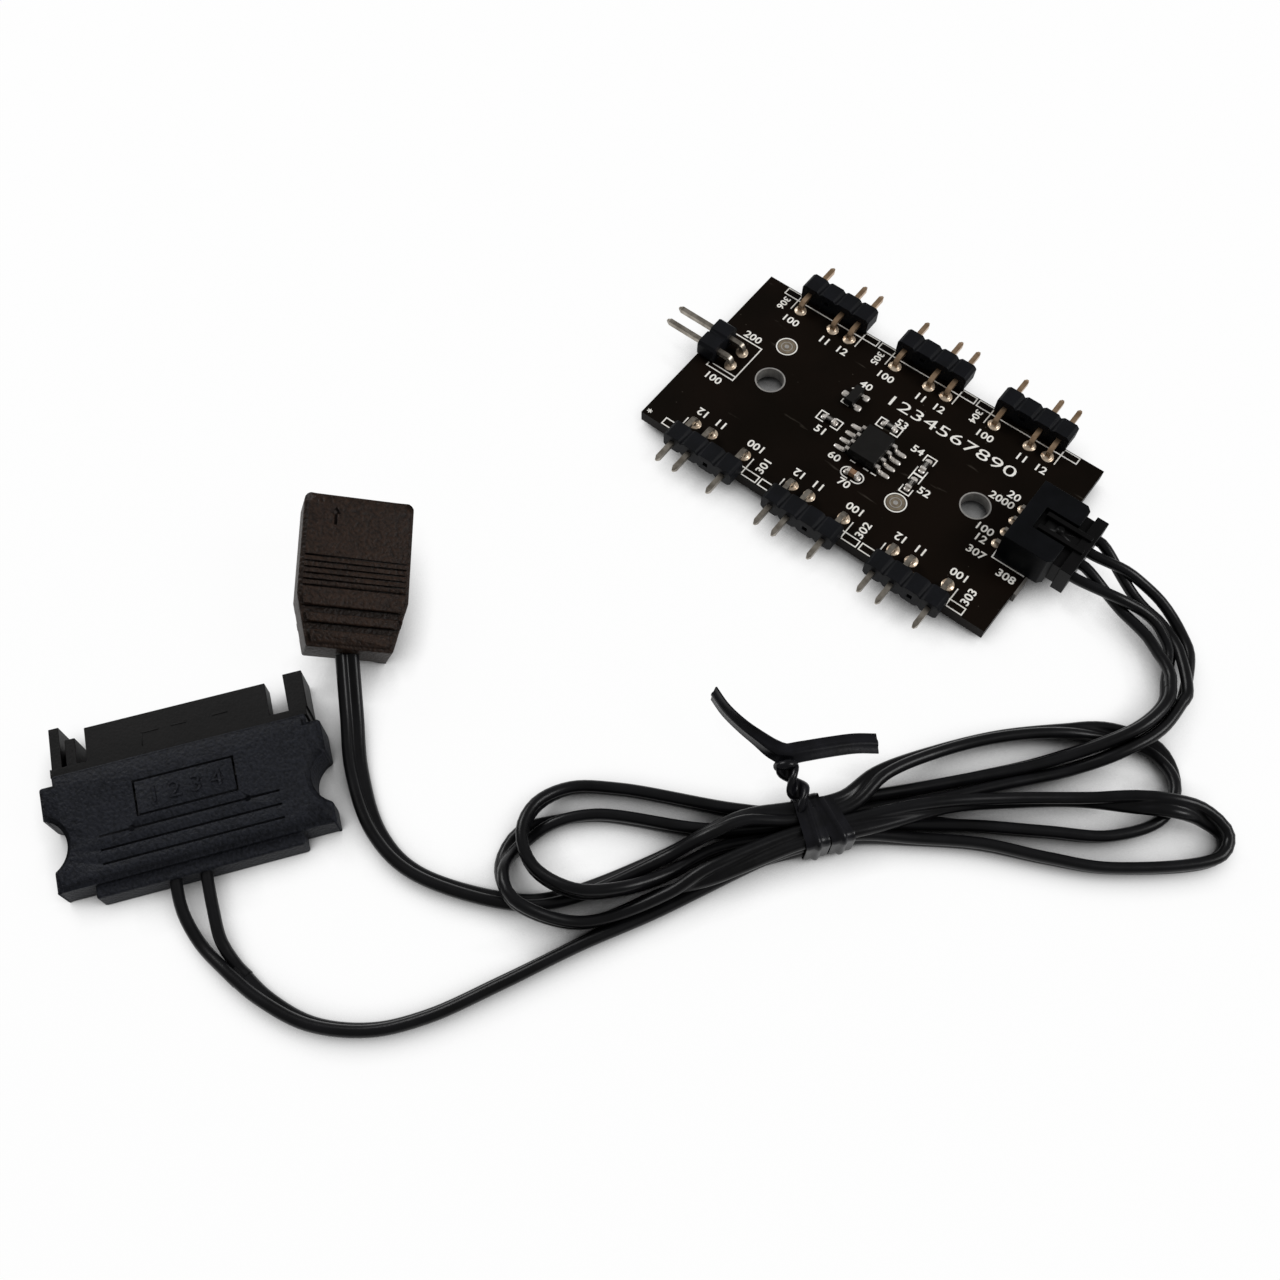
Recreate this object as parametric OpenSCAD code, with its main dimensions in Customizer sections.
// Controller board that shares one addressable lighting signal between six strips, with its cable set.
// X runs along the board's long side, Y towards its rear edge and Z up. The origin is below the middle
// of the board and its headers, on the surface that the board's soldered pin ends stand on.

/* [Board] */
// Length of the board along X
board_length = 50; // [49.5:0.5:60]
// Width of the board along Y
board_width = 28; // [27.5:0.5:36]
// Thickness of the laminate
board_thickness = 1.6; // [0.8:0.2:2.4]
// Diameter of the two mounting holes
mount_hole_diameter = 3.6; // [2.5:0.1:4]
// Distance from each mounting hole's middle to the nearer short edge
mount_hole_inset = 9.8; // [9.2:0.1:10.4]
// Diameter of a plated hole that a pin is soldered into
pin_hole_diameter = 1; // [0.96:0.02:1.1]
// Length of the break-off tab's stub on the right edge
tab_length = 2.8; // [1.5:0.1:4]
// How far that stub stands out of the edge
tab_reach = 0.4; // [0.2:0.1:0.8]

/* [Pin headers] */
// Distance between neighbouring pins
pin_pitch = 2.54; // [2.5:0.01:2.6]
// Width of a square pin
pin_width = 0.64; // [0.5:0.02:0.66]
// Depth and height of a header's plastic strip
strip_size = 2.54; // [2.3:0.02:2.8]
// Size of the notch between two blocks of a strip
strip_notch = 0.4; // [0.2:0.05:0.6]
// Distance between the first pins of neighbouring headers
header_spacing = 14.7; // [14.5:0.1:14.9]
// Distance from the board's left edge to the first header's first pin
first_pin_inset = 6.4; // [6:0.1:7]
// Distance from the front edge to the front row of soldered pins
front_pad_inset = 2.65; // [2.5:0.05:3]
// How far the front strips stand out past the front edge
front_overhang = 2.2; // [1.8:0.1:2.6]
// Distance from the rear edge to the rear row of soldered pins
rear_pad_inset = 2.4; // [2.3:0.05:3]
// How far the rear strips stand out past the rear edge
rear_overhang = 2; // [1.8:0.1:2.6]
// Free length of a header pin past its strip
free_pin_length = 3.15; // [2.5:0.05:6]
// Distance from the left edge to the two soldered pins of the key header
key_pad_inset = 4.45; // [4:0.05:5]
// Free length of a key header pin past its strip
key_pin_length = 5.7; // [3:0.1:7]
// Length of a soldered pin end below the board
stub_length = 1; // [0.8:0.1:1.6]

/* [Power connector] */
// Distance between neighbouring contacts
power_pitch = 2; // [1.9:0.02:2.04]
// Distance from the board's right edge to the soldered contacts
power_pad_inset = 5; // [4.8:0.1:6]
// Depth of the shroud along X
shroud_depth = 6.3; // [5.8:0.1:7]
// Width of the shroud along Y
shroud_width = 9.6; // [9.4:0.1:10.4]
// Height of the shroud above the board
shroud_height = 4.9; // [4.6:0.1:5.6]
// Thickness of the shroud's walls
shroud_wall = 0.7; // [0.5:0.05:0.8]
// How far the cable housing stands out of the shroud
housing_reach = 2.5; // [2.2:0.1:4]
// Gap between the cable housing and the shroud
housing_gap = 0.1; // [0.05:0.01:0.2]
// Width of the finger flange at the end of the cable housing
flange_width = 8.8; // [8.4:0.1:9.6]

/* [Chips] */
// Width of the controller chip's body along X
chip_width = 3.9; // [3.6:0.1:4.2]
// Length of the controller chip's body along Y
chip_length = 4.9; // [4.7:0.1:5.2]
// Height of the controller chip's top above the board
chip_height = 1.6; // [1.3:0.05:1.9]
// Length of a chip resistor or capacitor
passive_length = 1.6; // [1.4:0.1:1.9]
// Width of a chip resistor or capacitor
passive_width = 0.8; // [0.6:0.05:0.95]

/* [Drive power plug] */
// Width of the moulded grip
grip_width = 30; // [29.6:0.2:34]
// Length of the moulded grip along the plug
grip_length = 12.5; // [12:0.1:15]
// Thickness of the moulded grip at its front end
grip_height = 5.4; // [5.2:0.1:7]
// Thickness of the moulded grip at its cable end
grip_rear_height = 3.8; // [3.4:0.1:5]
// Width of the hood around the contacts
hood_width = 19.7; // [19:0.1:20.8]
// How far the hood stands out of its flange
hood_reach = 4; // [3.8:0.1:6]
// Height of the hood
hood_height = 2.6; // [2.5:0.1:3.2]
// Width of the block that the cores leave
cable_block_width = 21.8; // [18:0.1:24]

/* [Lighting plug] */
// Width of the moulded plug
light_plug_width = 12.3; // [12.2:0.1:15]
// Length of the moulded plug
light_plug_length = 17.8; // [17:0.1:22]
// Thickness of the moulded plug
light_plug_height = 6; // [5.4:0.1:7]
// Width of the plug at its cable end
light_plug_tail_width = 9.5; // [8.5:0.1:12]

/* [Flat twin leads] */
// Width of a twin lead across both cores
lead_width = 2.7; // [2.5:0.05:2.7]
// Thickness of a twin lead
lead_thickness = 1.3; // [1.1:0.05:1.3]

/* [Hidden] */

$fn = 32;
eps = 0.01;

// Colours
board_black = "#17130f";
strip_black = "#1b1d22";
print_white = "#eeeae0";
tinned = "#c9c2b4";
gold = "#c9a866";

// Frame: the board's front left corner on its top face, seen from the origin
board_top = stub_length + board_thickness;
header_count = 3;
header_positions = 4;
front_used = [0, 1, 3];
rear_used = [0, 2, 3];
front_reach = front_pad_inset + front_overhang;
rear_reach = rear_pad_inset + rear_overhang;
key_reach = key_pad_inset;
shroud_back_x = board_length - power_pad_inset + 0.6;
shroud_end_x = shroud_back_x + shroud_depth;
housing_end_x = shroud_end_x + housing_reach;
frame_x = -(housing_end_x - key_pin_length) / 2;
front_tip_y = -front_overhang - free_pin_length;
rear_tip_y = board_width + rear_overhang + free_pin_length;
frame_y = -(front_tip_y + rear_tip_y) / 2;

// Places on the board, from its front left corner
chip_place = [25.8, 12.75];
transistor_place = [19.75, 18.15];
resistor_1_place = [19.25, 13.5];
resistor_2_place = [32.4, 11.75];
resistor_3_place = [25.7, 17.25];
resistor_4_place = [32.4, 15.05];
capacitor_place = [26.05, 8.45];
round_pad_places = [[8.4, 19.65], [32.4, 8.4]];
round_pad_diameter = 2.3;
tab_place = 6.4;
row_middle_y = board_width / 2;
first_pins_x = [for (i = [0:header_count - 1]) first_pin_inset + i * header_spacing];

// Pins and their solder
pin_axis_height = strip_size / 2;
pin_bend_radius = 0.62;
pin_taper = 0.45;
solder_diameter = 1.65;
solder_height = 0.5;
solder_pad_height = 0.06;
copper = 0.04;

// Power connector
power_contacts = 4;
power_pin_width = 0.5;
power_axis_height = shroud_height / 2;
power_solder_diameter = 1.3;
shroud_back_wall = 1;
power_foot_height = 0.5;
power_pin_reach = 3.8;
latch_window = 3.4;
rib_width = 0.6;
housing_insert = shroud_depth - shroud_back_wall - 0.4;
housing_inner_width = shroud_width - 2 * shroud_wall - 2 * housing_gap;
housing_inner_height = shroud_height - 2 * shroud_wall - 2 * housing_gap;
flange_height = 4.2;
flange_length = 1.5;
cavity_width = 1.3;
core_hole_diameter = 1.3;

// Small parts
lead_pitch = 1.27;
chip_lead_width = 0.42;
chip_lead_thickness = 0.2;
chip_standoff = 0.12;
chip_lead_reach = 1.05;
chip_pad_length = 1.6;
transistor_size = [1.3, 2.9, 1.1];
transistor_pitch = 0.95;
passive_height = 0.45;
cap_height = 0.8;
terminal_length = 0.35;
part_solder_height = 0.05;

// Printed lines
print_height = 0.03;
print_line = 0.16;

// Drive power plug
drive_plug_place = [-35.7, -80.5, 0];
drive_plug_turn = 54;
flange_front = 0.5;
flange_back = -0.5;
flange_half = 13.8;
grip_back = flange_back - grip_length;
grip_slope = atan2(grip_height - grip_rear_height, grip_length);
shoulder_width = 1.4;
shoulder_drop = 1;
rear_narrowing = 0.4;
rear_cut_length = 6;
scallop_depth = 2.1;
scallop_length = 5.9;
scallop_middle = -8;
grip_step = 0.5;
cable_block_reach = 1.4;
cable_block_height = 2.9;
hood_top = 4.6;
hood_bottom = hood_top - hood_height;
hood_wall = 0.55;
hood_buried = 5.5;
contact_rail = 0.5;
post_height = 4.4;
post_reach = flange_front + hood_reach + 0.5;
right_post_inner = 11.9;
right_post_width = 2.1;
left_post_outer = 13.6;
left_post_wall = 1.1;
left_post_gap = 0.5;
left_post_short = 1.4;
drive_contact_count = 15;
drive_contact_pitch = 1.1;
drive_contact_width = 0.6;
drive_contact_thickness = 0.2;
cable_exit_offset = -1.4;
cable_exit_height = 1.9;
groove_depth = 0.3;
groove_width = 0.25;
grip_grooves = [-7.9, -9.4, -10.9];
grip_groove_length = 19;
grip_dots = 6.1;
grip_frame = [10.8, 4];
grip_frame_middle = -4.8;

// Lighting plug: its cable end rests on the surface and its lead holds the nose up
light_plug_place = [-38.37, -47.65];
light_plug_turn = 37.4;
light_plug_pitch = 12;
light_plug_roll = 19;
light_plug_straight = 11.9;
light_plug_step = 0.5;
socket_width = 4 * pin_pitch;
socket_height = 2.6;
socket_depth = 9;
socket_hole = 0.9;
light_contact_length = 7;

// Cord exits
function turned(v, angle) =
    [v[0] * cos(angle) - v[1] * sin(angle), v[0] * sin(angle) + v[1] * cos(angle), v[2]];
function pitched(v, angle) =
    [v[0], v[1] * cos(angle) - v[2] * sin(angle), v[1] * sin(angle) + v[2] * cos(angle)];
function rolled(v, angle) =
    [v[0] * cos(angle) + v[2] * sin(angle), v[1], v[2] * cos(angle) - v[0] * sin(angle)];
function light_plug_turned(v) =
    turned(pitched(rolled(v, light_plug_roll), light_plug_pitch), light_plug_turn);
light_plug_lift = -light_plug_turned([light_plug_tail_width / 2, -light_plug_length, -light_plug_height])[2];
light_plug_nose = [light_plug_place[0], light_plug_place[1], light_plug_lift];
rear_pair_exit = [housing_end_x + frame_x, row_middle_y + power_pitch + frame_y,
    board_top + power_axis_height];
front_pair_exit = [housing_end_x + frame_x, row_middle_y - power_pitch + frame_y,
    board_top + power_axis_height];
drive_plug_exit = drive_plug_place
    + turned([cable_exit_offset, grip_back - cable_block_reach, cable_exit_height], drive_plug_turn);
light_plug_exit = light_plug_nose
    + light_plug_turned([0, -light_plug_length, -light_plug_height / 2]);

// Twist tie and the bundle in it: four strands on edge side by side and two lying flat on top of them
tie_middle = [24.02, -44.51, 0];
tie_turn = 51.4;
tie_width = 2.65;
tie_thickness = 0.6;
tie_gap = 0.1;
tie_corner = 0.6;
tie_clearance = 0.05;
strand_gap = 0.03;
bundle_end = 3;
bundle_width = 2 * lead_width + strand_gap + 2 * tie_clearance;
bundle_height = lead_width + strand_gap + lead_thickness + 2 * tie_clearance;
edge_height = tie_thickness + tie_clearance + lead_width / 2;
flat_height = tie_thickness + tie_clearance + lead_width + strand_gap + lead_thickness / 2;
function in_bundle(across, along, height, roll) = [
    tie_middle[0] + across * sin(tie_turn) + along * cos(tie_turn),
    tie_middle[1] - across * cos(tie_turn) + along * sin(tie_turn), height, roll];
function on_edge(row, along) =
    in_bundle((row - 1.5) * (lead_thickness + strand_gap), along, edge_height, 90);
function on_top(row, along) = in_bundle((row - 0.5) * (lead_width + strand_gap), along, flat_height, 0);
tie_neck_foot = [22.2, -44.75, 4.7];
tie_neck_tip = [17.3, -42.3, 5.5];
tie_neck_diameter = 1.7;
tie_end_width = 2.3;
tie_end_thickness = 0.9;
tie_end_route = [[6.3, -40.3, 4.6, 60], [8.5, -41.1, 4.9, 60], [11, -41.5, 5.1, 60], [13.4, -41.7, 5.3, 55],
    [15.4, -41.8, 5.5, 40], [16.8, -41.5, 5.6, 20], [18, -40.2, 5.6, 5], [19.9, -37.9, 5.3, 0],
    [22, -35.5, 4.9, 0], [23.8, -33.9, 4.5, 0]];

// Middle line of each flat lead: X, Y, Z and how far it is rolled from lying flat
drive_lead_route = [
    [31, 1.9, 4.9, 15], [34.7, 1.9, 4.2, 45], [42.7, 0.1, 1.65, 90], [46.1, -3.1, 1.95, 90],
    [47.7, -7.2, 2.6, 88], [47.2, -12.8, 2.95, 75], [44.9, -18, 2.95, 67], [41.8, -22.2, 1.55, 66],
    [36.8, -28.3, 1.4, 72], [31.8, -34.7, 1.5, 82], on_edge(1, bundle_end), on_edge(1, -bundle_end),
    [14.9, -52.1, 1.4, 84], [4.1, -58.4, 1.4, 78], [1, -61.9, 1.35, 60], [-0.6, -64.8, 0.8, 9],
    [-0.4, -67.7, 1.25, 40], [1.4, -70.2, 3.3, 80], [4.1, -71.4, 4.15, 90], [10.4, -68.6, 2.05, 98],
    [15.8, -60.5, 2.9, 111], [18.4, -56.2, 4.15, 40], on_top(1, -bundle_end), on_top(1, bundle_end),
    [33.4, -34.8, 3.5, 77], [39, -29.3, 2.5, 90], [45.4, -24.1, 2.2, 88], [52.7, -19.9, 3.75, 11],
    [56, -18.2, 2.35, 50], [59, -18.4, 1.4, 88], [59.4, -20.9, 1.4, 85], [50.9, -29.1, 1.4, 75],
    [44.9, -32.4, 1.4, 76], [38.6, -35.4, 1.4, 79], [32.9, -39.2, 1.4, 80], on_edge(3, bundle_end),
    on_edge(3, -bundle_end), [21.2, -51.5, 1.4, 75], [15.3, -62.8, 1.2, 44], [11.7, -70.2, 1.4, 70],
    [7.8, -78.4, 1.4, 70], [4.2, -85.4, 1.4, 70], [0.6, -89.9, 1.4, 70], [-4.6, -93.2, 1.4, 70],
    [-10.3, -94.3, 1.35, 60], [-16.6, -93.8, 1.3, 20]];
light_lead_route = [
    [32, -1.7, 4.9, 15], [36.3, -1.8, 4.1, 45], [40.8, -2, 2.65, 82], [44.8, -4.8, 2.3, 90],
    [46.2, -8.9, 3.05, 83], [45.3, -14, 3.45, 73], [39.3, -23.1, 1.9, 67], [34.5, -28.8, 1.4, 72],
    [29.7, -34.5, 1.4, 80], on_edge(0, bundle_end), on_edge(0, -bundle_end), [15.7, -48.6, 1.5, 84],
    [4.4, -54.4, 1.4, 78], [0, -57.7, 1.4, 79], [-1.4, -61.8, 2.35, 88], [-0.2, -65.3, 3.2, 90],
    [3.1, -67.3, 3.25, 90], [8.2, -66.7, 4.05, 91], [11.7, -63.6, 3.6, 96], [14.2, -59.1, 1.8, 98],
    [16.7, -53.5, 1.45, 95], on_edge(2, -bundle_end), on_edge(2, bundle_end), [30.8, -38.4, 1.3, 125],
    [37.1, -34, 1.4, 105], [43.4, -29.9, 1.4, 103], [49.1, -26, 1.4, 105], [52.5, -21, 1.4, 94],
    [51.9, -16.5, 1.4, 69], [48.3, -13.9, 0.9, 15], [43.5, -15, 0.7, -1], [39.2, -18.2, 1.25, 49],
    [33.8, -23.4, 1.5, 63], [29.1, -29.7, 1.9, 63], [25.9, -36.2, 3.55, 44], on_top(0, bundle_end),
    on_top(0, -bundle_end), [17.4, -49.6, 4.3, 49], [15.3, -53.3, 4, 61], [13.1, -57.1, 1.8, 63],
    [7.6, -66.9, 1.25, 48], [3.9, -70.7, 1.25, 50], [-6.9, -75.1, 1.35, 60], [-13.1, -74.4, 1.3, 52],
    [-19.8, -70.5, 1.2, 30], [-24.4, -66.2, 2, 20]];

// Puts a piece that is drawn from the board's front left top corner in its place
module on_board() {
    translate([frame_x, frame_y, board_top]) children();
}

// Laminate
module board_outline() {
    square([board_length, board_width]);
    translate([board_length - eps, tab_place]) square([tab_reach + eps, tab_length]);
}

// Every soldered hole, from the board's front left corner
pin_places = concat(
    [for (x = first_pins_x, i = front_used) [x + i * pin_pitch, front_pad_inset]],
    [for (x = first_pins_x, i = rear_used) [x + i * pin_pitch, board_width - rear_pad_inset]]);
key_places = [for (i = [-0.5, 0.5]) [key_pad_inset, row_middle_y + i * pin_pitch]];
power_places = [for (i = [0:power_contacts - 1])
    [board_length - power_pad_inset, row_middle_y + (i - (power_contacts - 1) / 2) * power_pitch]];
mount_hole_places = [[mount_hole_inset, row_middle_y], [board_length - mount_hole_inset, row_middle_y]];

module pcb() {
    color(board_black)
    on_board()
    translate([0, 0, -board_thickness])
    difference() {
        linear_extrude(board_thickness) board_outline();
        for (p = mount_hole_places)
            translate([p[0], p[1], -1]) cylinder(d = mount_hole_diameter, h = board_thickness + 2);
        for (p = concat(pin_places, key_places, power_places))
            translate([p[0], p[1], -1]) cylinder(d = pin_hole_diameter, h = board_thickness + 2, $fn = 16);
    }
}

// Printed lines, drawn as raised ink
module ink_line(x1, y1, x2, y2) {
    length = norm([x2 - x1, y2 - y1]);
    translate([x1, y1]) rotate(atan2(y2 - y1, x2 - x1))
        translate([-print_line / 2, -print_line / 2]) square([length + print_line, print_line]);
}

module ink_box(x1, y1, x2, y2) {
    ink_line(x1, y1, x2, y1);
    ink_line(x2, y1, x2, y2);
    ink_line(x2, y2, x1, y2);
    ink_line(x1, y2, x1, y1);
}

// Mark of a four-way header, from its middle on the board's edge
header_mark_half = header_spacing / 2 - 0.2;
header_mark_inner = header_positions / 2 * pin_pitch - 0.05;
header_mark_edge = 0.2;
header_mark_depth = 1;
header_mark_length = front_pad_inset + 0.2;
module header_mark() {
    ink_box(-header_mark_half, header_mark_edge, header_mark_half, header_mark_edge + header_mark_depth);
    for (side = [-1, 1])
        ink_line(side * header_mark_inner, header_mark_edge, side * header_mark_inner, header_mark_length);
}

// Mark of a chip resistor: two brackets around it
module bracket_mark() {
    for (side = [0, 180]) rotate(side) {
        ink_line(-1.6, -0.7, -1.6, 0.7);
        ink_line(-1.6, -0.7, -0.6, -0.7);
        ink_line(-1.6, 0.7, -0.6, 0.7);
    }
}

// Mark of the capacitor: two open arcs around it
module arc_mark() {
    for (side = [0, 180]) rotate(side) {
        difference() {
            translate([-0.75, 0]) circle(r = 0.85);
            translate([-0.75, 0]) circle(r = 0.85 - print_line);
            translate([-0.75, -1]) square(2);
        }
        for (y = [-0.77, 0.77]) ink_line(-0.75, y, -0.3, y);
    }
}

module ring_mark() {
    difference() {
        circle(d = round_pad_diameter + 0.5);
        circle(d = round_pad_diameter + 0.5 - 2 * print_line);
    }
}

// Marks of the key header and of the power connector, from their rows of contacts
key_mark_left = key_pad_inset - 2.45;
key_mark_right = key_pad_inset + 1.65;
key_mark_front = -pin_pitch - 0.5;
key_mark_rear = pin_pitch + 0.75;
key_mark_step = 0.65;
power_mark_gap = 0.48;
power_mark_front = -shroud_width / 2 - 0.1;
power_mark_rear = shroud_width / 2 + 0.4;

module silkscreen() {
    header_middle = (header_positions - 1) / 2 * pin_pitch;
    color(print_white)
    on_board()
    linear_extrude(print_height)
    difference() {
        union() {
            for (x = first_pins_x) {
                translate([x + header_middle, 0]) header_mark();
                translate([x + header_middle, board_width]) mirror([0, 1]) header_mark();
            }
            translate([0, row_middle_y]) {
                ink_box(key_mark_left, key_mark_front, key_mark_right, key_mark_rear);
                ink_line(key_mark_left, key_mark_front + key_mark_step,
                    key_mark_right, key_mark_front + key_mark_step);
            }
            translate([board_length - power_pad_inset, row_middle_y]) {
                ink_line(power_mark_gap, power_mark_front, power_mark_gap, power_mark_rear);
                for (y = [power_mark_front, power_mark_rear])
                    ink_line(power_mark_gap, y, power_pad_inset - 0.2, y);
            }
            translate(resistor_1_place) bracket_mark();
            translate(resistor_3_place) bracket_mark();
            translate(resistor_2_place) rotate(90) bracket_mark();
            translate(resistor_4_place) rotate(90) bracket_mark();
            translate(capacitor_place) arc_mark();
            for (p = round_pad_places) translate(p) ring_mark();
            translate(transistor_place) {
                ink_line(-1, -1.35, -1, -0.85);
                ink_line(-1, -1.35, 0.1, -1.35);
                ink_line(-1, 1.25, -0.6, 1.6);
            }
            translate(chip_place) {
                for (x = [-0.8, 1.1, 2.2]) ink_line(x - 0.3, -2.6, x + 0.3, -2.6);
                ink_line(-2.4, 2.65, 2.2, 2.65);
            }
        }
        for (p = concat(pin_places, key_places)) translate(p) circle(d = solder_diameter, $fn = 24);
        for (p = power_places) translate(p) circle(d = power_solder_diameter, $fn = 24);
        for (x = first_pins_x) {
            translate([x - pin_pitch / 2, -1])
                square([header_positions * pin_pitch, 1 + strip_size - front_overhang]);
            translate([x - pin_pitch / 2, board_width - strip_size + rear_overhang])
                square([header_positions * pin_pitch, strip_size]);
        }
        translate([key_pad_inset - key_reach, row_middle_y - pin_pitch]) square([strip_size, 2 * pin_pitch]);
    }
}

// Bare round marks with a dimple in the middle
module round_pads() {
    color(gold)
    on_board()
    for (p = round_pad_places) translate(p) difference() {
        cylinder(d = round_pad_diameter, h = copper);
        translate([0, 0, -1]) cylinder(d = 0.5, h = 2, $fn = 16);
    }
}

// Side outline of one row of moulded blocks, with a notch where two meet
function strip_bottom(count) = [for (i = [0:count - 1]) each [
    [(i - 0.5) * pin_pitch, strip_notch],
    [(i - 0.5) * pin_pitch + strip_notch, 0],
    [(i + 0.5) * pin_pitch - strip_notch, 0]], [(count - 0.5) * pin_pitch, strip_notch]];
function strip_top(count) = [for (i = [count - 1:-1:0]) each [
    [(i + 0.5) * pin_pitch, strip_size - strip_notch],
    [(i + 0.5) * pin_pitch - strip_notch, strip_size],
    [(i - 0.5) * pin_pitch + strip_notch, strip_size]], [-0.5 * pin_pitch, strip_size - strip_notch]];

// Plastic strip: pin 1 at X 0, soldered row at Y 0, free pins towards +Y up to the outer face at reach
module strip(count, reach) {
    difference() {
        translate([0, reach, 0]) rotate([90, 0, 0])
            linear_extrude(strip_size) polygon(concat(strip_bottom(count), strip_top(count)));
        for (i = [0:count - 1])
            translate([i * pin_pitch - pin_width / 2, reach - strip_size - 1,
                pin_axis_height - pin_width / 2])
                cube([pin_width, strip_size + 2, pin_width]);
    }
}

// Straight square bar along +Y with a tapered end
module tapered_bar(length, width, taper) {
    half = width / 2;
    tip = width / 5;
    outline = [[-half, 0], [half, 0], [half, length - taper],
        [tip, length], [-tip, length], [-half, length - taper]];
    intersection() {
        translate([0, 0, -half]) linear_extrude(width) polygon(outline);
        rotate([0, 90, 0]) translate([0, 0, -half]) linear_extrude(width) polygon(outline);
    }
}

// Bent square pin: a leg down through the board, a quarter bend and a free end towards +Y
module bent_pin(reach, free_length) {
    leg_bottom = -board_thickness - stub_length;
    translate([-pin_width / 2, -pin_width / 2, leg_bottom])
        cube([pin_width, pin_width, pin_axis_height - pin_bend_radius - leg_bottom]);
    translate([0, pin_bend_radius, pin_axis_height - pin_bend_radius]) rotate([0, -90, 0])
        rotate([0, 0, -90]) rotate_extrude(angle = 90)
        translate([pin_bend_radius, 0]) square(pin_width, center = true);
    translate([0, pin_bend_radius, pin_axis_height])
        tapered_bar(reach + free_length - pin_bend_radius, pin_width, pin_taper);
}

module front_row(i) {
    on_board() translate([first_pins_x[i], front_pad_inset, 0]) mirror([0, 1, 0]) children();
}

module rear_row(i) {
    on_board() translate([first_pins_x[i], board_width - rear_pad_inset, 0]) children();
}

module front_strip(i) {
    color(strip_black) front_row(i) strip(header_positions, front_reach);
}

module rear_strip(i) {
    color(strip_black) rear_row(i) strip(header_positions, rear_reach);
}

module front_pins(i) {
    color(tinned) front_row(i)
        for (k = front_used) translate([k * pin_pitch, 0, 0]) bent_pin(front_reach, free_pin_length);
}

module rear_pins(i) {
    color(gold) rear_row(i)
        for (k = rear_used) translate([k * pin_pitch, 0, 0]) bent_pin(rear_reach, free_pin_length);
}

module key_row() {
    on_board() translate([key_pad_inset, row_middle_y - pin_pitch / 2, 0]) rotate([0, 0, 90]) children();
}

module key_strip() {
    color(strip_black) key_row() strip(2, key_reach);
}

module key_pins() {
    color(tinned) key_row()
        for (k = [0, 1]) translate([k * pin_pitch, 0, 0]) bent_pin(key_reach, key_pin_length);
}

// Solder around one square leg: a tinned pad and a fillet on both faces, and the filled hole
module solder_joint(diameter, leg_width) {
    difference() {
        union() {
            translate([0, 0, -board_thickness])
                cylinder(d = pin_hole_diameter, h = board_thickness, $fn = 16);
            for (side = [0, 1]) translate([0, 0, -side * board_thickness]) mirror([0, 0, side]) {
                cylinder(d = diameter, h = solder_pad_height);
                translate([0, 0, solder_pad_height])
                    cylinder(d1 = diameter - 0.1, d2 = leg_width * 1.5,
                        h = solder_height - solder_pad_height);
            }
        }
        translate([-leg_width / 2, -leg_width / 2, -board_thickness - 2])
            cube([leg_width, leg_width, board_thickness + 4]);
    }
}

module header_solder() {
    color(tinned) on_board()
        for (p = pin_places) translate(p) solder_joint(solder_diameter, pin_width);
}

module key_solder() {
    color(tinned) on_board()
        for (p = key_places) translate(p) solder_joint(solder_diameter, pin_width);
}

// The power contacts' solder stops at the feet of the contacts and at the shroud
module power_solder() {
    color(tinned) difference() {
        on_board() for (p = power_places) translate(p) solder_joint(power_solder_diameter, power_pin_width);
        at_power_row() {
            for (y = contact_offsets)
                translate([0, y - power_pin_width / 2, power_foot_height - power_pin_width / 2])
                cube([power_pin_reach, power_pin_width, power_pin_width]);
            translate([back_gap, -shroud_width / 2, 0]) cube([1, shroud_width, 1]);
        }
    }
}

// Power connector, drawn from the middle of its row of contacts on the board's top face
module at_power_row() {
    on_board() translate([board_length - power_pad_inset, row_middle_y, 0]) children();
}

contact_offsets = [for (i = [0:power_contacts - 1]) (i - (power_contacts - 1) / 2) * power_pitch];
back_gap = shroud_back_x - (board_length - power_pad_inset);

module power_shroud() {
    color(strip_black) at_power_row() translate([back_gap, 0, 0]) difference() {
        translate([0, -shroud_width / 2, 0]) cube([shroud_depth, shroud_width, shroud_height]);
        translate([shroud_back_wall, -shroud_width / 2 + shroud_wall, shroud_wall])
            cube([shroud_depth, shroud_width - 2 * shroud_wall, shroud_height - 2 * shroud_wall]);
        translate([shroud_back_wall + 1, -latch_window / 2, shroud_height / 2])
            cube([shroud_depth, latch_window, shroud_height]);
        for (y = contact_offsets) translate([0, y, 0]) power_pin_space();
        for (side = [-1, 1]) translate([shroud_depth, side * shroud_width / 2, 0])
            rotate([0, 0, 45]) translate([-0.4, -0.4, -1]) cube([0.8, 0.8, shroud_height + 2]);
    }
}

// Room for one contact in the shroud's back wall: the same square section as the contact
module power_pin_space() {
    half = power_pin_width / 2;
    translate([-1, -half, power_foot_height - half])
        cube([1 + shroud_back_wall / 2 + half, power_pin_width, power_pin_width]);
    translate([shroud_back_wall / 2 - half, -half, power_foot_height - half])
        cube([power_pin_width, power_pin_width, power_axis_height - power_foot_height + power_pin_width]);
    translate([shroud_back_wall / 2 - half, -half, power_axis_height - half])
        cube([shroud_back_wall / 2 + half + 1, power_pin_width, power_pin_width]);
}

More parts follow.
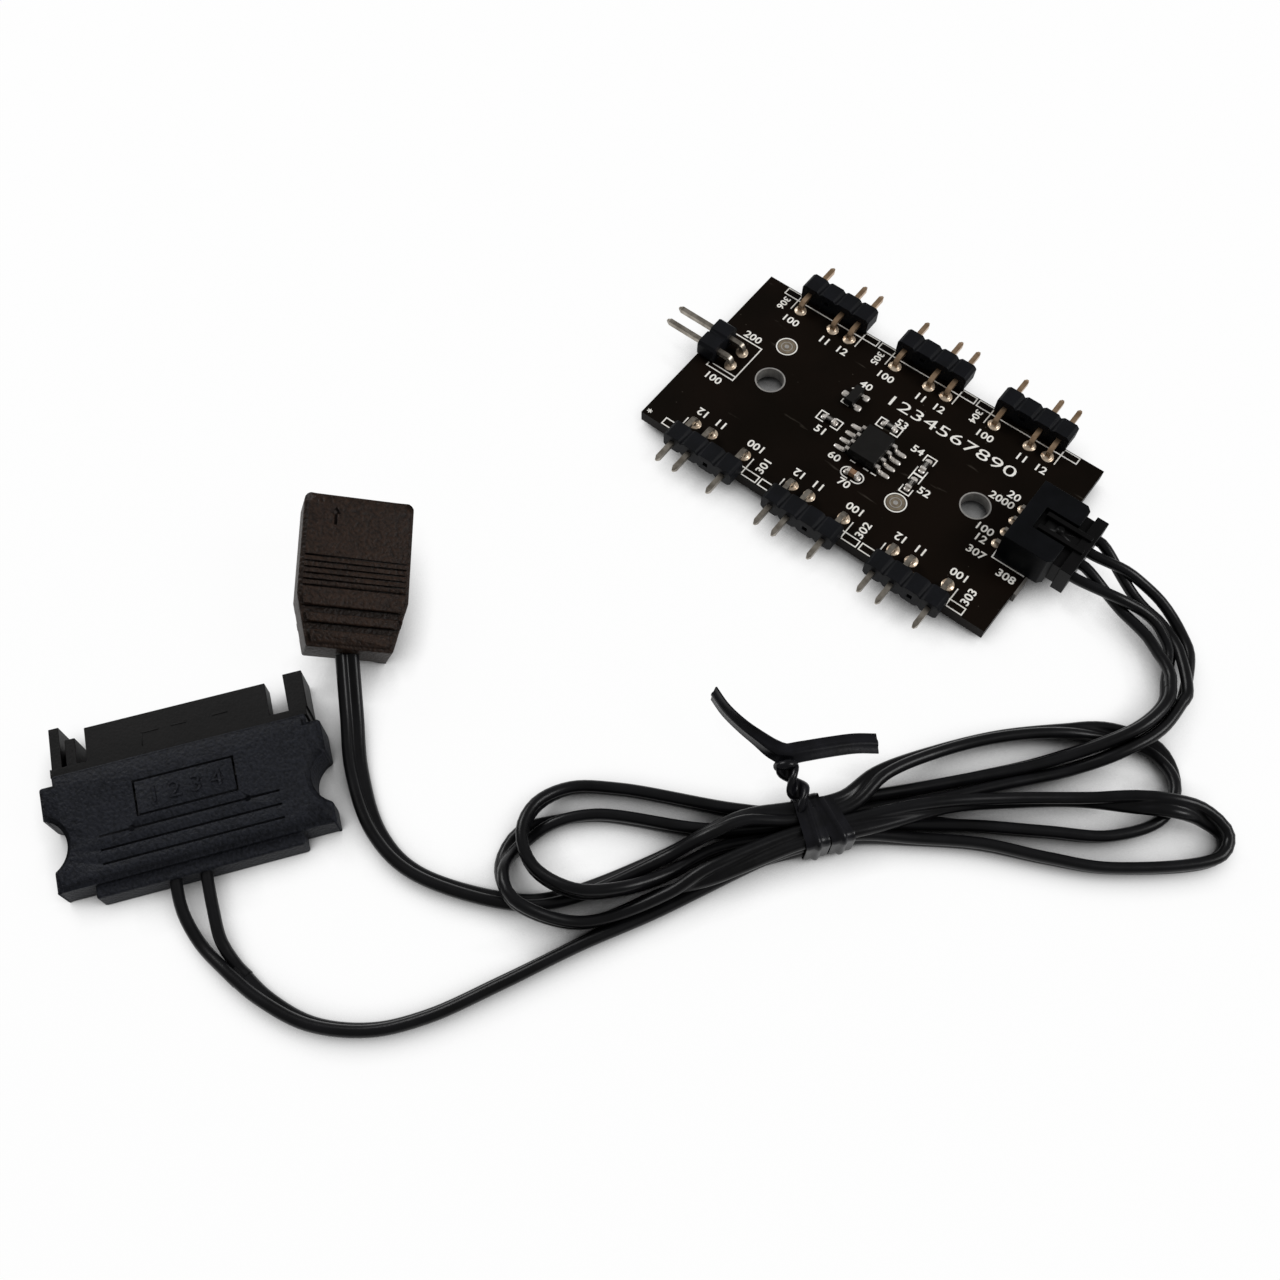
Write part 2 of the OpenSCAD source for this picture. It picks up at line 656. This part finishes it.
module power_pins() {
    half = power_pin_width / 2;
    leg_bottom = -board_thickness - stub_length;
    color(tinned) at_power_row() for (y = contact_offsets) translate([0, y, 0]) {
        translate([-half, -half, leg_bottom])
            cube([power_pin_width, power_pin_width, power_foot_height + half - leg_bottom]);
        translate([-half, -half, power_foot_height - half])
            cube([back_gap + shroud_back_wall / 2 + power_pin_width, power_pin_width, power_pin_width]);
        translate([back_gap + shroud_back_wall / 2 - half, -half, power_foot_height - half])
            cube([power_pin_width, power_pin_width,
                power_axis_height - power_foot_height + power_pin_width]);
        translate([back_gap + shroud_back_wall / 2 - half, 0, power_axis_height]) rotate([0, 0, -90])
            tapered_bar(shroud_back_wall / 2 + half + power_pin_reach, power_pin_width, pin_taper);
    }
}

// Cable housing, drawn from the shroud's open end at the height of its contacts
module at_housing() {
    on_board() translate([shroud_end_x, row_middle_y, power_axis_height]) children();
}

module cable_housing() {
    rib_top = shroud_height / 2 - eps;
    color(strip_black) at_housing() difference() {
        union() {
            translate([-housing_insert, -housing_inner_width / 2, -housing_inner_height / 2])
                cube([housing_insert + housing_reach, housing_inner_width, housing_inner_height]);
            translate([housing_reach - flange_length, -flange_width / 2, -flange_height / 2])
                cube([flange_length, flange_width, flange_height]);
            for (side = [-1, 1]) translate([-housing_insert + 1.1, side * 1.05 - rib_width / 2, 0])
                cube([housing_insert + housing_reach - 1.5, rib_width, rib_top]);
            translate([-housing_insert + 1.6, -0.7, 0])
                cube([housing_insert + housing_reach - 2.4, 1.4, rib_top - 0.5]);
            translate([-1.5, 0, 0]) cylinder(d = 1, h = rib_top - 0.1, $fn = 24);
        }
        for (y = contact_offsets) translate([0, y, 0]) {
            translate([-housing_insert - 1, -cavity_width / 2, -cavity_width / 2])
                cube([housing_insert + 1 + housing_reach - 1, cavity_width, cavity_width]);
            rotate([0, 90, 0]) cylinder(d = core_hole_diameter, h = housing_reach + 1, $fn = 20);
        }
    }
}

// Crimped contacts: a box that grips the pin, and the rolled tail that holds the core
module cable_contacts() {
    box = cavity_width;
    pin_tip = -shroud_depth + shroud_back_wall + power_pin_reach;
    color(tinned) at_housing() for (y = contact_offsets) translate([0, y, 0]) difference() {
        translate([-housing_insert + 0.3, -box / 2, -box / 2])
            cube([housing_insert + housing_reach - 1.3, box, box]);
        translate([-housing_insert - 1, -power_pin_width / 2, -power_pin_width / 2])
            cube([housing_insert + 1 + pin_tip + 0.4, power_pin_width, power_pin_width]);
    }
}

// Controller chip: a moulded block with sloped sides
module controller_chip() {
    body_bottom = chip_standoff;
    waist = (chip_height + body_bottom) / 2;
    slope = 0.12;
    color("#202226") on_board() translate(chip_place) {
        for (side = [0, 1]) translate([0, 0, waist]) mirror([0, 0, side])
            frustum(chip_width, chip_length, chip_width - 2 * slope,
                chip_length - 2 * slope, chip_height - waist);
    }
}

// Block that narrows from a lower rectangle to an upper one
module frustum(x1, y1, x2, y2, h) {
    intersection() {
        translate([0, y1 / 2, 0]) rotate([90, 0, 0]) linear_extrude(y1)
            polygon([[-x1 / 2, 0], [x1 / 2, 0], [x2 / 2, h], [-x2 / 2, h]]);
        translate([-x1 / 2, 0, 0]) rotate([90, 0, 90]) linear_extrude(x1)
            polygon([[-y1 / 2, 0], [y1 / 2, 0], [y2 / 2, h], [-y2 / 2, h]]);
    }
}

// Gull-wing lead towards +X, from a body side at X 0
module gull_lead(width, thickness, height, reach, bottom) {
    knee = reach * 0.42;
    translate([0, width / 2, 0]) rotate([90, 0, 0]) linear_extrude(width)
        polygon([[0, height - thickness / 2], [knee - thickness / 2, height - thickness / 2],
            [knee, bottom], [reach, bottom], [reach, bottom + thickness],
            [knee + thickness, bottom + thickness], [knee + thickness / 2, height + thickness / 2],
            [0, height + thickness / 2]]);
}

module chip_leads() {
    waist = (chip_height + chip_standoff) / 2;
    color(tinned) on_board() translate(chip_place) for (side = [0, 180]) rotate([0, 0, side])
        for (i = [-1.5:1.5]) translate([chip_width / 2, i * lead_pitch, 0])
            gull_lead(chip_lead_width, chip_lead_thickness, waist, chip_lead_reach, part_solder_height);
}

module transistor() {
    color("#1d1f22") on_board() translate(transistor_place) translate([0, 0, chip_standoff])
        frustum(transistor_size[0], transistor_size[1], transistor_size[0] - 0.2, transistor_size[1] - 0.2,
            transistor_size[2] - chip_standoff);
}

module transistor_leads() {
    color(tinned) on_board() translate(transistor_place) {
        for (y = [-transistor_pitch, transistor_pitch]) translate([transistor_size[0] / 2, y, 0])
            transistor_lead();
        rotate([0, 0, 180]) translate([transistor_size[0] / 2, 0, 0]) transistor_lead();
    }
}

module transistor_lead() {
    gull_lead(0.42, 0.14, chip_standoff + 0.07, 0.6, part_solder_height);
}

// Chip resistor or capacitor: a ceramic block between two plated ends, on two spots of solder
module passive(height, body_colour) {
    middle = passive_length - 2 * terminal_length;
    translate([0, 0, part_solder_height]) {
        color(body_colour) translate([-middle / 2, -passive_width / 2, 0])
            cube([middle, passive_width, height]);
        for (side = [-1, 1]) color(tinned)
            translate([side * (passive_length - terminal_length) / 2 - terminal_length / 2,
                -passive_width / 2, 0])
                cube([terminal_length, passive_width, height]);
    }
}

module resistor(place, turn) {
    on_board() translate(place) rotate([0, 0, turn]) passive(passive_height, "#26211c");
}

module resistor_1() {
    resistor(resistor_1_place, 0);
}

module resistor_2() {
    resistor(resistor_2_place, 90);
}

module resistor_3() {
    resistor(resistor_3_place, 0);
}

module resistor_4() {
    resistor(resistor_4_place, 90);
}

module capacitor() {
    on_board() translate(capacitor_place) passive(cap_height, "#9a7454");
}

// Tinned lands under the small parts
module land(x, y) {
    translate([-x / 2, -y / 2, 0]) cube([x, y, part_solder_height]);
}

module passive_lands() {
    for (side = [-1, 1]) translate([side * (passive_length / 2), 0, 0]) land(0.8, passive_width);
}

module component_solder() {
    color(tinned) on_board() {
        translate(resistor_1_place) passive_lands();
        translate(resistor_3_place) passive_lands();
        translate(resistor_2_place) rotate(90) passive_lands();
        translate(resistor_4_place) rotate(90) passive_lands();
        translate(capacitor_place) passive_lands();
        translate(chip_place) for (side = [-1, 1], i = [-1.5:1.5])
            translate([side * (chip_width / 2 + 1.3), i * lead_pitch, 0]) land(chip_pad_length, 0.62);
        translate(transistor_place) {
            translate([-1.25, 0, 0]) land(0.9, 0.9);
            for (y = [-transistor_pitch, transistor_pitch]) translate([1.25, y, 0]) land(0.9, 0.9);
        }
    }
}

// Rectangle with round corners
module round_box(x1, y1, x2, y2, r) {
    translate([x1 + r, y1]) square([x2 - x1 - 2 * r, y2 - y1]);
    translate([x1, y1 + r]) square([x2 - x1, y2 - y1 - 2 * r]);
    for (x = [x1 + r, x2 - r], y = [y1 + r, y2 - r]) translate([x, y]) circle(r = r);
}

// Drive power plug, drawn from the middle of its flange with the hood towards +Y
module at_drive_plug() {
    translate(drive_plug_place) rotate([0, 0, drive_plug_turn]) children();
}

// Outline of the grip, drawn in by inset all round
module grip_outline(inset) {
    half = grip_width / 2;
    scallop_radius =
        (scallop_depth * scallop_depth + scallop_length * scallop_length / 4) / (2 * scallop_depth);
    difference() {
        round_box(-half + inset, grip_back + inset, half - inset, flange_back - inset, 0.7);
        for (side = [-1, 1]) {
            translate([side * (half + scallop_radius - scallop_depth), scallop_middle])
                circle(r = scallop_radius + inset, $fn = 64);
            translate([side * (half - shoulder_width / 2 - inset / 2 + 1),
                flange_back - shoulder_drop / 2 - inset / 2 + 1])
                square([shoulder_width + inset + 2, shoulder_drop + inset + 2], center = true);
            translate([side * (half - rear_narrowing / 2 - inset / 2 + 1), grip_back + 1])
                square([rear_narrowing + inset + 2, rear_cut_length], center = true);
        }
    }
}

// Side outline of the grip: its top falls towards the cable end
module grip_profile(extra) {
    translate([-grip_width, 0, 0]) rotate([90, 0, 90]) linear_extrude(2 * grip_width)
        polygon([[flange_back + 1, -1], [flange_back + 1, grip_height + extra + tan(grip_slope)],
            [grip_back - 1, grip_rear_height + extra - tan(grip_slope)], [grip_back - 1, -1]]);
}

module drive_plug_grip() {
    color("#191b1f") at_drive_plug() difference() {
        union() {
            intersection() {
                linear_extrude(grip_height) grip_outline(0);
                grip_profile(-grip_step);
            }
            intersection() {
                linear_extrude(grip_height) grip_outline(grip_step);
                grip_profile(0);
            }
            translate([-cable_block_width / 2, grip_back - cable_block_reach, 0])
                cube([cable_block_width, cable_block_reach + 2, cable_block_height]);
        }
        translate([-hood_width / 2, -hood_buried, hood_bottom])
            cube([hood_width, hood_buried + 1, hood_height]);
        translate([0, flange_back, grip_height]) rotate([grip_slope, 0, 0]) {
            for (y = grip_grooves) translate([-grip_groove_length / 2, y - groove_width / 2, -groove_depth])
                cube([grip_groove_length, groove_width, 1]);
            for (x = [-grip_dots, grip_dots]) translate([x, grip_grooves[0], -groove_depth])
                cylinder(d = 0.7, h = 1, $fn = 16);
            translate([0, grip_frame_middle, -groove_depth]) linear_extrude(1) difference() {
                square(grip_frame, center = true);
                square(grip_frame - 2 * [groove_width, groove_width], center = true);
            }
        }
    }
}

// Insulator: the hood with its slot, the flange with its two guide posts, and the part buried in the grip
module drive_plug_hood() {
    slot_width = hood_width - 2 * hood_wall;
    slot_height = hood_height - 2 * hood_wall;
    post_bottom = hood_top - post_height;
    color("#16171b") at_drive_plug() {
        difference() {
            union() {
                translate([-hood_width / 2, -hood_buried, hood_bottom])
                    cube([hood_width, hood_buried + flange_front + hood_reach, hood_height]);
                translate([-flange_half, flange_back, post_bottom])
                    cube([2 * flange_half, flange_front - flange_back, post_height]);
            }
            translate([-slot_width / 2, -hood_buried + 1, hood_bottom + hood_wall])
                cube([slot_width, hood_buried + hood_reach + 2, slot_height]);
        }
        translate([-slot_width / 2 - eps, -hood_buried + 1 - eps, hood_bottom + hood_wall - eps])
            cube([slot_width - 1.4, hood_buried + hood_reach - 1.2, contact_rail + eps]);
        translate([right_post_inner, flange_front - eps, post_bottom])
            cube([right_post_width, post_reach - flange_front + eps, post_height]);
        translate([-left_post_outer, flange_front - eps, post_bottom]) {
            cube([left_post_wall, post_reach + 0.3 - flange_front + eps, post_height]);
            translate([left_post_wall - eps, 0, 0])
                cube([left_post_gap + 2 * eps, post_reach - 1 - flange_front, 0.9]);
            translate([left_post_wall + left_post_gap, 0, 0])
                cube([left_post_wall, post_reach - left_post_short - flange_front, post_height]);
        }
    }
}

module drive_plug_contacts() {
    contact_row = (drive_contact_count - 1) / 2;
    color(gold) at_drive_plug() for (i = [-contact_row:contact_row])
        translate([i * drive_contact_pitch - 0.7 - drive_contact_width / 2, -hood_buried + 1,
            hood_bottom + hood_wall + contact_rail])
            cube([drive_contact_width, hood_buried + hood_reach - 2.4, drive_contact_thickness]);
}

// Lighting plug, drawn from the middle of its nose's top edge with the cable towards -Y
module at_light_plug() {
    translate(light_plug_nose) rotate([0, 0, light_plug_turn]) rotate([light_plug_pitch, 0, 0])
        rotate([0, light_plug_roll, 0]) translate([0, 0, -light_plug_height]) children();
}

// Outline of the plug with rounded corners at its nose, drawn in by inset all round
module light_plug_outline(inset) {
    half = light_plug_width / 2 - inset;
    tail = light_plug_tail_width / 2 - inset;
    nose = 0.9;
    rounding = [for (a = [0:22.5:90]) [half - nose + nose * cos(a), -inset - nose + nose * sin(a)]];
    polygon(concat(rounding, [for (i = [4:-1:0]) [-rounding[i][0], rounding[i][1]]],
        [[-half, -light_plug_straight], [-tail, -light_plug_length + inset],
            [tail, -light_plug_length + inset], [half, -light_plug_straight]]));
}

fine_grooves = [for (i = [0:5]) -7.5 - i * 0.7];
wide_grooves = [-13.6, -15.5];
module light_plug_body() {
    color("#2b241f") at_light_plug() difference() {
        union() {
            translate([0, 0, light_plug_step])
                linear_extrude(light_plug_height - 2 * light_plug_step) light_plug_outline(0);
            linear_extrude(light_plug_height) light_plug_outline(light_plug_step);
            translate([light_plug_tail_width / 2 - 0.9, -light_plug_length, 0])
                cube([0.9, 0.9, light_plug_step + eps]);
        }
        translate([-socket_width / 2, -socket_depth, (light_plug_height - socket_height) / 2])
            cube([socket_width, socket_depth + 1, socket_height]);
        for (side = [0, 1]) translate([0, 0, side * light_plug_height]) mirror([0, 0, side]) {
            for (y = fine_grooves) translate([-light_plug_width, y - 0.12, -1])
                cube([2 * light_plug_width, 0.24, 1 + groove_depth]);
            for (y = wide_grooves) translate([-light_plug_width, y - 0.4, -1])
                cube([2 * light_plug_width, 0.8, 1.7]);
        }
        translate([-2.6, -2.7, light_plug_height - groove_depth]) linear_extrude(1)
            polygon([[-0.18, -1], [0.18, -1], [0.18, 0.3], [0.6, 0.3], [0, 1.1], [-0.6, 0.3], [-0.18, 0.3]]);
    }
}

socket_middle = light_plug_height / 2;
module light_plug_socket() {
    color("#131316") at_light_plug() translate([0, 0, socket_middle]) difference() {
        translate([-socket_width / 2, -socket_depth, -socket_height / 2])
            cube([socket_width, socket_depth, socket_height]);
        for (i = [-1.5:1.5])
            translate([i * pin_pitch - socket_hole / 2, -socket_depth + 1, -socket_hole / 2])
                cube([socket_hole, socket_depth, socket_hole]);
    }
}

// Two spring contacts: the signal and the ground
module light_plug_contacts() {
    color(gold) at_light_plug() translate([0, 0, socket_middle]) for (i = [-0.5, 1.5])
        translate([i * pin_pitch, 0, 0]) difference() {
            translate([-socket_hole / 2, -socket_depth + 1, -socket_hole / 2])
                cube([socket_hole, light_contact_length, socket_hole]);
            translate([-socket_hole / 2 + 0.12, -socket_depth, -socket_hole / 2 + 0.12])
                cube([socket_hole - 0.24, socket_depth + 1, socket_hole - 0.24]);
        }
}

// A flat section swept along a route of points, each with its own roll
function unit(v) = v / norm(v);
function place_of(p) = [p[0], p[1], p[2]];
function flat_section(width, thickness) = [for (q = [[1, 0.5], [0.65, 1], [-0.65, 1], [-1, 0.5],
    [-1, -0.5], [-0.65, -1], [0.65, -1], [1, -0.5]]) [q[0] * width / 2, q[1] * thickness / 2]];
function ring(p, along, section) =
    let (side = unit(cross([0, 0, 1], along)), up = cross(along, side), roll = p[3])
    [for (q = section) place_of(p) + side * (q[0] * cos(roll) - q[1] * sin(roll))
        + up * (q[0] * sin(roll) + q[1] * cos(roll))];
function directions(route, first, last) = [for (i = [0:len(route) - 1])
    i == 0 ? first : i == len(route) - 1 ? last : unit(place_of(route[i + 1]) - place_of(route[i - 1]))];

module swept(route, first, last, section) {
    along = directions(route, first, last);
    count = len(section);
    rings = len(route);
    points = [for (i = [0:rings - 1]) each ring(route[i], along[i], section)];
    sides = [for (i = [0:rings - 2], j = [0:count - 1]) let (k = (j + 1) % count) each [
        [i * count + j, i * count + k, (i + 1) * count + j],
        [i * count + k, (i + 1) * count + k, (i + 1) * count + j]]];
    start_cap = [for (j = [count - 1:-1:0]) j];
    end_cap = [for (j = [0:count - 1]) (rings - 1) * count + j];
    polyhedron(points = points, faces = concat(sides, [start_cap, end_cap]), convexity = 10);
}

lead_section = flat_section(lead_width, lead_thickness);
function with_roll(p, roll) = [p[0], p[1], p[2], roll];

module drive_lead() {
    color("#141417") swept(
        concat([with_roll(rear_pair_exit, 0)], drive_lead_route, [with_roll(drive_plug_exit, 0)]),
        [1, 0, 0], turned([0, 1, 0], drive_plug_turn), lead_section);
}

module light_lead() {
    color("#141417") swept(
        concat([with_roll(front_pair_exit, 0)], light_lead_route,
            [with_roll(light_plug_exit, light_plug_roll)]),
        [1, 0, 0], light_plug_turned([0, 1, 0]), lead_section);
}

// Twist tie, drawn from the middle of the bundle with the leads running along Y
module at_tie() {
    translate(tie_middle) rotate([0, 0, tie_turn - 90]) children();
}

module bundle_outline(grow) {
    round_box(-bundle_width / 2 - grow, tie_thickness - grow, bundle_width / 2 + grow,
        tie_thickness + bundle_height + grow, tie_corner + grow);
}

// Two turns round the bundle
module twist_tie() {
    color("#121214") at_tie() for (side = [-1, 1])
        translate([0, side * (tie_width + tie_gap) / 2 + tie_width / 2, 0]) rotate([90, 0, 0])
            linear_extrude(tie_width) difference() {
                bundle_outline(tie_thickness);
                bundle_outline(0);
            }
}

// Everything inside the turns' outer faces, which the neck and the ends stand on
module tie_room() {
    reach = 2 * tie_width + tie_gap;
    at_tie() translate([0, reach / 2, 0]) rotate([90, 0, 0]) linear_extrude(reach)
        bundle_outline(tie_thickness);
}

// Round bar from one point to another
module bar(from, to, diameter) {
    way = to - from;
    translate(from) rotate([0, acos(way[2] / norm(way)), atan2(way[1], way[0])])
        cylinder(d = diameter, h = norm(way), $fn = 16);
}

// Twisted neck, from the turns to the free ends
module tie_neck() {
    color("#121214") difference() {
        neck_bar();
        tie_room();
    }
}

module neck_bar() {
    bar(tie_neck_foot, tie_neck_tip, tie_neck_diameter);
}

module free_ends() {
    ends = tie_end_route;
    last = len(ends) - 1;
    swept(ends, unit(place_of(ends[1]) - place_of(ends[0])),
        unit(place_of(ends[last]) - place_of(ends[last - 1])),
            flat_section(tie_end_width, tie_end_thickness));
}

module tie_ends() {
    color("#121214") difference() {
        free_ends();
        tie_room();
        neck_bar();
    }
}

pcb();
silkscreen();
round_pads();
front_strip(0);  // front_strip_1
front_strip(1);  // front_strip_2
front_strip(2);  // front_strip_3
front_pins(0);  // front_pins_1
front_pins(1);  // front_pins_2
front_pins(2);  // front_pins_3
rear_strip(0);  // rear_strip_1
rear_strip(1);  // rear_strip_2
rear_strip(2);  // rear_strip_3
rear_pins(0);  // rear_pins_1
rear_pins(1);  // rear_pins_2
rear_pins(2);  // rear_pins_3
key_strip();
key_pins();
header_solder();
key_solder();
power_shroud();
power_pins();
power_solder();
cable_housing();
cable_contacts();
controller_chip();
chip_leads();
transistor();
transistor_leads();
resistor_1();
resistor_2();
resistor_3();
resistor_4();
capacitor();
component_solder();
drive_plug_grip();
drive_plug_hood();
drive_plug_contacts();
light_plug_body();
light_plug_socket();
light_plug_contacts();
drive_lead();
light_lead();
twist_tie();
tie_neck();
tie_ends();
